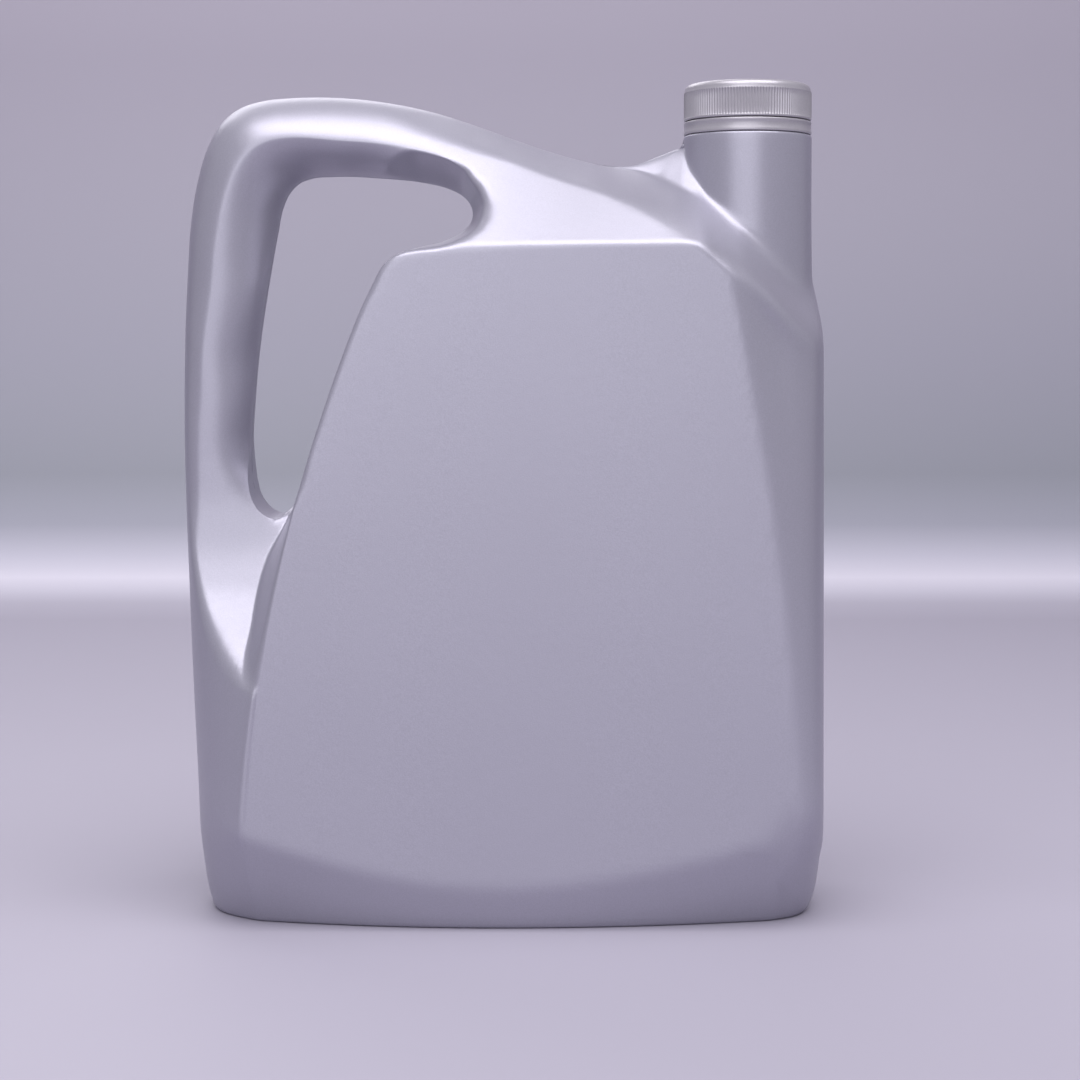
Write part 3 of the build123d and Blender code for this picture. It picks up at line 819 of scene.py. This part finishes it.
class CANISTER_OT_body(bpy.types.Operator):
    """Build the blow-moulded body with its handle, neck, threaded finish and hollow inside"""

    bl_idname = "canister.body"
    bl_label = "Canister body"

    def execute(self, context):
        sizes = context.scene.canister
        pitch = context.scene.closure.thread_pitch
        front, is_open, marks = body_front()
        shell = Shell()
        outer_rim = side_shell(shell, front, is_open, marks, False)
        half_marks = {name: (int(pair[0] // 2), int(pair[1] // 2)) for name, pair in marks.items()}
        inner = inner_front(front, is_open, half_marks)
        inner_rim = side_shell(shell, inner, is_open[::2], half_marks, True)
        neck = np.arange(marks["neck"][0], marks["neck"][1] + 1)
        half_turn = np.arctan2(-front[neck, -1, 1], front[neck, -1, 0] - sizes.neck_x)
        angle = np.concatenate([-half_turn, half_turn[-2:0:-1]])
        profile = finish_profile(sizes.wall)
        radius, height = profile[:, :1], profile[:, 1:]
        is_root = (np.abs(radius - THREAD_ROOT) < 1e-6) & (height > 275.2)
        ridge = thread_height(angle[None, :], height, THREAD_LOW, THREAD_HIGH, pitch, 0.85)
        rings = shell.add(turned(radius + is_root * ridge, height, angle))
        shell.weave(np.vstack([outer_rim, rings]), False, wrap=True)
        shell.weave(np.vstack([rings[-1], np.repeat(inner_rim, 2)]), False, wrap=True)
        add_mesh("body_skin", shell, silver_plastic(), "bottle", "canister", "bottle_body")
        return {"FINISHED"}


class CANISTER_OT_band(bpy.types.Operator):
    """Build the smooth tamper band that stays on the neck under the cap"""

    bl_idname = "canister.band"
    bl_label = "Tamper band"

    def execute(self, context):
        sizes = context.scene.canister
        radius = context.scene.closure.cap_radius
        low = sizes.ledge_height + 0.1
        high = sizes.ledge_height + 4.7
        turn = np.linspace(0.0, 0.5 * math.pi, 5)
        foot = joined(radius - 0.35 + 0.35 * np.sin(turn), low + 0.35 - 0.35 * np.cos(turn))
        head = joined(radius - 0.5 + 0.5 * np.cos(turn), high - 0.5 + 0.5 * np.sin(turn))
        groove = np.array([[radius, low + 1.1], [radius - 0.12, low + 1.3], [radius - 0.12, high - 1.1],
                           [radius, high - 0.9]])
        inside = np.array([[20.95, high], [20.8, high - 0.15], [20.8, low + 1.7], [20.7, low + 1.6],
                           [20.2, low + 1.6], [20.1, low + 1.5], [20.1, low + 0.1], [20.2, low]])
        profile = np.vstack([foot, groove, head, inside, foot[:1]])
        angle = np.linspace(0.0, 2.0 * math.pi, 192, endpoint=False)
        shell = turned_shell(profile[:, :1], profile[:, 1:], angle)
        add_mesh("band_ring", shell, cap_plastic(), "bottle", "closure", "tamper_band")
        return {"FINISHED"}


class CANISTER_OT_cap(bpy.types.Operator):
    """Build the ribbed screw cap with its inner thread"""

    bl_idname = "canister.cap"
    bl_label = "Screw cap"

    def execute(self, context):
        sizes = context.scene.canister
        closure = context.scene.closure
        low = sizes.ledge_height + 5.0
        high = sizes.rim_height + 3.28
        outside = closure.cap_radius
        turn = np.linspace(0.0, 0.5 * math.pi, 9)
        rib_low = low + 0.9
        rib_high = low + 9.8
        skirt = np.array([[outside - 0.5, low], [outside - 0.12, low + 0.12], [outside, low + 0.4],
                          [outside, rib_low - 0.1], [outside, rib_low]])
        ribs = joined(outside, np.linspace(rib_low + 0.25, rib_high - 0.3, 5))
        over = np.array([[outside, rib_high], [outside - 0.1, rib_high + 0.2]])
        edge_radius = 2.3
        edge_middle = outside - 0.25 - edge_radius
        edge_height = high - edge_radius
        edge = joined(edge_middle + edge_radius * np.cos(turn), edge_height + edge_radius * np.sin(turn))
        lid_low = high - 0.18
        lid = np.array([[19.0, high], [18.4, high - 0.12], [17.8, lid_low], [9.0, lid_low], [0.0, lid_low]])
        ceiling = sizes.rim_height + 1.5
        under = np.array([[0.0, ceiling], [10.0, ceiling], [20.5, ceiling], [CAP_BORE, ceiling - 0.4]])
        threaded = joined(CAP_BORE, np.linspace(ceiling - 1.4, low + 0.9, 40))
        mouth = np.array([[CAP_BORE, low + 0.5], [CAP_BORE + 0.2, low + 0.15], [outside - 0.9, low]])
        profile = np.vstack([skirt, ribs, over, edge, lid, under, threaded, mouth, skirt[:1]])
        samples = 8
        angle = np.linspace(0.0, 2.0 * math.pi, closure.rib_count * samples, endpoint=False)
        wave = np.abs((angle * closure.rib_count / (2.0 * math.pi)) % 1.0 - 0.5) * 2.0
        radius, height = profile[:, :1], profile[:, 1:]
        is_bore = np.abs(radius - CAP_BORE) < 1e-6
        is_side = (radius > outside - 0.05) & (height < rib_high + 0.1)
        depth = eased((height - rib_low + 0.2) / 0.4) * eased((rib_high + 0.1 - height) / 0.4)
        radius = radius - is_side * closure.rib_depth * depth * wave
        pitch = closure.thread_pitch
        ridge_low, ridge_high = THREAD_LOW - 2.1, 281.9
        ridge = thread_height(angle[None, :], height - 0.5 * pitch, ridge_low, ridge_high, pitch, 1.0)
        radius = radius - is_bore * positive(ridge - 0.25)
        shell = turned_shell(radius, height, angle)
        add_mesh("screw_cap", shell, cap_plastic(), "cap", "closure", "cap")
        return {"FINISHED"}


class CANISTER_OT_wad(bpy.types.Operator):
    """Build the foam disc that seals on the rim inside the cap"""

    bl_idname = "canister.wad"
    bl_label = "Sealing wad"

    def execute(self, context):
        sizes = context.scene.canister
        low = sizes.rim_height + 0.1
        high = sizes.rim_height + 1.4
        profile = np.array([[0.0, low], [15.8, low], [16.4, low + 0.06], [19.4, low + 0.06],
                            [20.0, low], [20.45, low], [20.6, low + 0.15], [20.6, high - 0.15],
                            [20.45, high], [0.0, high]])
        angle = np.linspace(0.0, 2.0 * math.pi, 128, endpoint=False)
        shell = turned_shell(profile[:, :1], profile[:, 1:], angle)
        add_mesh("foam_wad", shell, wad_foam(), "liner", "wad", "cap_liner")
        return {"FINISHED"}


def node(tree, kind, inputs=(), **settings):
    """Add a node, set its properties, and give each named or numbered input its value or its link."""
    made = tree.nodes.new(kind)
    for name, value in settings.items():
        setattr(made, name, value)
    for name, value in dict(inputs).items():
        if isinstance(value, bpy.types.NodeSocket):
            tree.links.new(value, made.inputs[name])
        else:
            made.inputs[name].default_value = value
    return made


def noise(tree, where, scale, detail):
    """The grey value of a noise texture."""
    inputs = {"Vector": where, "Scale": scale, "Detail": detail}
    return node(tree, "ShaderNodeTexNoise", inputs).outputs["Fac"]


def mapped(tree, value, start, end, low, high):
    """A value carried from the range between start and end to the range between low and high."""
    ranges = {"Value": value, "From Min": start, "From Max": end, "To Min": low, "To Max": high}
    return node(tree, "ShaderNodeMapRange", ranges).outputs["Result"]


def reckoned(tree, operation, *values):
    """The result of one arithmetic node."""
    return node(tree, "ShaderNodeMath", enumerate(values), operation=operation).outputs[0]


def moulded_grain():
    """Shared grain of moulded plastic: a slow drift of tone, a fine sparkle of pigment and a satin bump."""
    name = "moulded_grain"
    if name in bpy.data.node_groups:
        return bpy.data.node_groups[name]
    tree = bpy.data.node_groups.new(name, "ShaderNodeTree")
    for side, label, kind in (("INPUT", "Colour", "Color"), ("INPUT", "Fleck", "Float"),
                              ("INPUT", "Roughness", "Float"), ("OUTPUT", "Colour", "Color"),
                              ("OUTPUT", "Roughness", "Float"), ("OUTPUT", "Height", "Float")):
        tree.interface.new_socket(label, in_out=side, socket_type="NodeSocket" + kind)
    given = tree.nodes.new("NodeGroupInput").outputs
    where = node(tree, "ShaderNodeTexCoord").outputs["Object"]
    drift = noise(tree, where, 9.0, 2.0)
    fleck = noise(tree, where, 2600.0, 1.0)
    orange_peel = noise(tree, where, 420.0, 2.0)
    drift_tone = mapped(tree, drift, 0.0, 1.0, 0.96, 1.04)
    low = reckoned(tree, "SUBTRACT", 1.0, given["Fleck"])
    high = reckoned(tree, "ADD", 1.0, given["Fleck"])
    fleck_tone = mapped(tree, fleck, 0.3, 0.7, low, high)
    tone = reckoned(tree, "MULTIPLY", drift_tone, fleck_tone)
    colour = node(tree, "ShaderNodeVectorMath", {0: given["Colour"], "Scale": tone}, operation="SCALE")
    rough = reckoned(tree, "MULTIPLY", mapped(tree, orange_peel, 0.0, 1.0, 0.9, 1.1), given["Roughness"])
    height = reckoned(tree, "MULTIPLY", orange_peel, 0.6)
    height = reckoned(tree, "MULTIPLY_ADD", fleck, 0.4, height)
    node(tree, "NodeGroupOutput", {"Colour": colour.outputs["Vector"], "Roughness": rough, "Height": height})
    return tree


def plastic(name, colour, roughness, metallic, fleck, bump):
    """A moulded plastic that takes its tone, roughness and bump from the shared grain."""
    if name in bpy.data.materials:
        return bpy.data.materials[name]
    material = bpy.data.materials.new(name)
    material.use_nodes = True
    tree = material.node_tree
    shader = tree.nodes["Principled BSDF"]
    grain = node(tree, "ShaderNodeGroup", node_tree=moulded_grain())
    grain.inputs["Colour"].default_value = (*colour, 1.0)
    grain.inputs["Fleck"].default_value = fleck
    grain.inputs["Roughness"].default_value = roughness
    bumps = {"Height": grain.outputs["Height"], "Strength": bump, "Distance": 0.0002}
    relief = node(tree, "ShaderNodeBump", bumps)
    tree.links.new(grain.outputs["Colour"], shader.inputs["Base Color"])
    tree.links.new(grain.outputs["Roughness"], shader.inputs["Roughness"])
    tree.links.new(relief.outputs["Normal"], shader.inputs["Normal"])
    shader.inputs["Metallic"].default_value = metallic
    return material


def silver_plastic():
    """The body's metallic grey plastic."""
    return plastic("silver_plastic", bpy.context.scene.finish.silver, 0.36, 0.5, 0.05, 0.25)


def cap_plastic():
    """The slightly glossier plastic of the cap and its band."""
    return plastic("cap_plastic", bpy.context.scene.finish.cap_silver, 0.34, 0.45, 0.04, 0.2)


def wad_foam():
    """The matt foam of the sealing disc."""
    return plastic("wad_foam", bpy.context.scene.finish.wad, 0.7, 0.0, 0.05, 0.4)


def area_lamp(name, place, target, size, size_y, power, colour):
    """A soft rectangular lamp that hangs level, then is tilted and turned to face its target."""
    lamp = bpy.data.lights.new(name, "AREA")
    lamp.shape = "RECTANGLE"
    lamp.size = size
    lamp.size_y = size_y
    lamp.energy = power
    lamp.color = colour
    holder = bpy.data.objects.new(name, lamp)
    bpy.context.collection.objects.link(holder)
    holder.location = place
    direction = np.subtract(target, place)
    flat = math.hypot(direction[0], direction[1])
    holder.rotation_euler = (math.atan2(flat, -direction[2]), 0.0, math.atan2(-direction[0], direction[1]))


def sweep_card():
    """The backdrop's pale card, whose tone follows the distance back along the floor plus the height, with
    painted light and shade on it.
    """
    material = bpy.data.materials.new("sweep_card")
    material.use_nodes = True
    tree = material.node_tree
    shader = tree.nodes["Principled BSDF"]
    where = node(tree, "ShaderNodeTexCoord").outputs["Object"]
    parts = node(tree, "ShaderNodeSeparateXYZ", {0: where}).outputs
    along = mapped(tree, reckoned(tree, "ADD", parts["Y"], parts["Z"]), 0.8, 2.3, 0.0, 1.0)
    ramp = node(tree, "ShaderNodeValToRGB", {"Fac": along})
    floor = tuple(bpy.context.scene.finish.floor)
    # Past the even floor the ramp paints light and shade: a bright band where the floor turns up, and darker
    # tones up the wall behind it.
    floor_and_painted_bands = [(0.0, floor), (0.06, floor), (0.14, (0.50, 0.475, 0.56)), (0.2, (0.66, 0.635, 0.73)),
             (0.25, (0.80, 0.77, 0.87)), (0.3, (0.60, 0.585, 0.68)), (0.36, (0.38, 0.38, 0.45)),
             (0.44, (0.30, 0.305, 0.355)), (0.6, (0.35, 0.34, 0.41)), (0.91, (0.45, 0.415, 0.495))]
    stops = ramp.color_ramp.elements
    while len(stops) < len(floor_and_painted_bands):
        stops.new(0.5)
    for stop, (position, colour) in zip(stops, floor_and_painted_bands):
        stop.position = position
        stop.color = (*colour, 1.0)
    tree.links.new(ramp.outputs["Color"], shader.inputs["Base Color"])
    shader.inputs["Roughness"].default_value = 0.6
    return material


class CANISTER_OT_stage(bpy.types.Operator):
    """Set up the pale floor and its sweep, the soft lamps, the world and the camera"""

    bl_idname = "canister.stage"
    bl_label = "Stage and camera"

    def execute(self, context):
        scene = context.scene
        scene.view_settings.view_transform = "Standard"
        turn = np.linspace(0.0, 0.5 * math.pi, 24)
        run = np.concatenate([[-3000.0, 0.0, 900.0], 1100.0 + 500.0 * np.sin(turn), [1600.0]])
        rise = np.concatenate([[0.0, 0.0, 0.0], 500.0 - 500.0 * np.cos(turn), [2600.0]])
        side = np.linspace(-3000.0, 3000.0, 13)
        sheet = joined(side[None, :], run[:, None], rise[:, None])
        mesh = bpy.data.meshes.new("sweep")
        faces = quads(*sheet.shape[:2])
        mesh.from_pydata((sheet.reshape(-1, 3) * MILLIMETRE).tolist(), [], faces.tolist())
        mesh.polygons.foreach_set("use_smooth", np.ones(len(faces), bool))
        mesh.update()
        mesh.materials.append(sweep_card())
        sweep = bpy.data.objects.new("sweep", mesh)
        context.collection.objects.link(sweep)
        area_lamp("top_box", (0.1, -0.5, 1.5), (0.0, 0.0, 0.15), 1.8, 1.2, 25.0, (1.0, 0.99, 1.0))
        area_lamp("back_fill", (-0.5, 1.3, 1.3), (0.0, 0.0, 0.15), 1.4, 0.8, 8.0, (1.0, 1.0, 1.0))
        area_lamp("front_fill", (-0.3, -2.4, 0.9), (0.0, 0.0, 0.0), 2.2, 2.2, 19.0, (0.97, 0.98, 1.0))
        world = bpy.data.worlds.new("room")
        scene.world = world
        world.use_nodes = True
        background = world.node_tree.nodes["Background"]
        background.inputs["Color"].default_value = (0.62, 0.61, 0.68, 1.0)
        background.inputs["Strength"].default_value = 0.66
        camera = bpy.data.cameras.new("camera")
        camera.sensor_width = 36.0
        camera.lens = 78.17
        camera.shift_y = -0.0857
        eye = bpy.data.objects.new("camera", camera)
        context.collection.objects.link(eye)
        eye.location = (0.0131, -0.830, 0.193)
        eye.rotation_euler = (math.radians(90.0 - 2.2), 0.0, 0.0)
        scene.camera = eye
        return {"FINISHED"}


class CANISTER_PT_pieces(bpy.types.Panel):
    """Lists the canister's sizes and the operators that build its pieces"""

    bl_label = "Oil canister"
    bl_idname = "CANISTER_PT_pieces"
    bl_space_type = "VIEW_3D"
    bl_region_type = "UI"
    bl_category = "Canister"

    def draw(self, context):
        for group in (context.scene.canister, context.scene.closure, context.scene.finish):
            box = self.layout.box()
            for name in group.bl_rna.properties.keys():
                if name not in ("rna_type", "name"):
                    box.prop(group, name)
        for operator in OPERATORS:
            self.layout.operator(operator.bl_idname)


OPERATORS = (CANISTER_OT_body, CANISTER_OT_band, CANISTER_OT_cap, CANISTER_OT_wad, CANISTER_OT_stage)
CLASSES = (CanisterSizes, ClosureSizes, FinishColours, *OPERATORS, CANISTER_PT_pieces)


def register():
    """Make the classes known, and give the scene its groups of sizes and colours."""
    for item in CLASSES:
        bpy.utils.register_class(item)
    bpy.types.Scene.canister = bpy.props.PointerProperty(type=CanisterSizes)
    bpy.types.Scene.closure = bpy.props.PointerProperty(type=ClosureSizes)
    bpy.types.Scene.finish = bpy.props.PointerProperty(type=FinishColours)


def unregister():
    """Take back what register did."""
    del bpy.types.Scene.finish
    del bpy.types.Scene.closure
    del bpy.types.Scene.canister
    for item in reversed(CLASSES):
        bpy.utils.unregister_class(item)


def main():
    """Build every piece and the stage."""
    register()
    bpy.ops.canister.body()
    bpy.ops.canister.band()
    bpy.ops.canister.cap()
    bpy.ops.canister.wad()
    bpy.ops.canister.stage()


if __name__ == "__main__":
    main()
